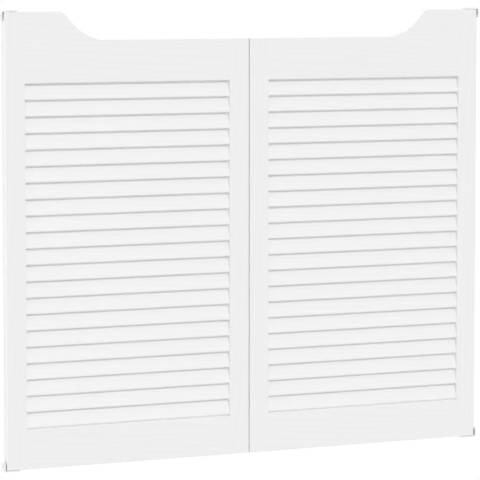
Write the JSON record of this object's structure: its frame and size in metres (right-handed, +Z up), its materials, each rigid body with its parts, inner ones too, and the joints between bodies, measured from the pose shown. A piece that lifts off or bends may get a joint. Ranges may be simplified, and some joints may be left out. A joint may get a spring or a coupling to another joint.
{
  "type": "cafe swinging doors",
  "caption": "Louvred cafe doors: half-height leaves with scooped top rails and fixed slats that swing both ways on pivot pins held by jamb brackets.",
  "frame": {"origin": "middle of the doorway, in the meeting gap, at half the leaves' thickness, level with the underside of the lower pivot brackets", "axes": "+X across the doorway, to the right seen from the front; +Y from front to back; +Z up"},
  "size_m": [1.2334, 0.022, 1.0686],
  "materials": {
    "painted_wood_frame": "satin white paint over fine-grained softwood",
    "painted_wood_slat": "satin white paint over fine-grained softwood",
    "painted_steel": "white powder coat",
    "nylon": "natural nylon"
  },
  "bodies": {
    "jamb_brackets": {"left_upper_jamb_bracket": "painted_steel", "left_lower_jamb_bracket": "painted_steel", "right_upper_jamb_bracket": "painted_steel", "right_lower_jamb_bracket": "painted_steel"},
    "left_leaf": {"left_hinge_stile": "painted_wood_frame", "left_meeting_stile": "painted_wood_frame", "left_top_rail": "painted_wood_frame", "left_bottom_rail": "painted_wood_frame", "left_slat_01": "painted_wood_slat", "left_slat_02": "painted_wood_slat", "left_slat_03": "painted_wood_slat", "left_slat_04": "painted_wood_slat", "left_slat_05": "painted_wood_slat", "left_slat_06": "painted_wood_slat", "left_slat_07": "painted_wood_slat", "left_slat_08": "painted_wood_slat", "left_slat_09": "painted_wood_slat", "left_slat_10": "painted_wood_slat", "left_slat_11": "painted_wood_slat", "left_slat_12": "painted_wood_slat", "left_slat_13": "painted_wood_slat", "left_slat_14": "painted_wood_slat", "left_slat_15": "painted_wood_slat", "left_slat_16": "painted_wood_slat", "left_slat_17": "painted_wood_slat", "left_slat_18": "painted_wood_slat", "left_slat_19": "painted_wood_slat", "left_slat_20": "painted_wood_slat", "left_slat_21": "painted_wood_slat", "left_upper_pivot_bush": "nylon", "left_lower_pivot_bush": "nylon"},
    "right_leaf": {"right_hinge_stile": "painted_wood_frame", "right_meeting_stile": "painted_wood_frame", "right_top_rail": "painted_wood_frame", "right_bottom_rail": "painted_wood_frame", "right_slat_01": "painted_wood_slat", "right_slat_02": "painted_wood_slat", "right_slat_03": "painted_wood_slat", "right_slat_04": "painted_wood_slat", "right_slat_05": "painted_wood_slat", "right_slat_06": "painted_wood_slat", "right_slat_07": "painted_wood_slat", "right_slat_08": "painted_wood_slat", "right_slat_09": "painted_wood_slat", "right_slat_10": "painted_wood_slat", "right_slat_11": "painted_wood_slat", "right_slat_12": "painted_wood_slat", "right_slat_13": "painted_wood_slat", "right_slat_14": "painted_wood_slat", "right_slat_15": "painted_wood_slat", "right_slat_16": "painted_wood_slat", "right_slat_17": "painted_wood_slat", "right_slat_18": "painted_wood_slat", "right_slat_19": "painted_wood_slat", "right_slat_20": "painted_wood_slat", "right_slat_21": "painted_wood_slat", "right_upper_pivot_bush": "nylon", "right_lower_pivot_bush": "nylon"}
  },
  "joints": [
    {"name": "left_leaf_swing", "type": "hinge", "parent": "jamb_brackets", "child": "left_leaf", "pos_m": [-0.58575, 0, 0], "axis": [0, 0, 1], "range_deg": [-90, 90], "stiffness_Nm_per_rad": 2},
    {"name": "right_leaf_swing", "type": "hinge", "parent": "jamb_brackets", "child": "right_leaf", "pos_m": [0.58575, 0, 0], "axis": [0, 0, 1], "range_deg": [-90, 90], "stiffness_Nm_per_rad": 2}
  ]
}
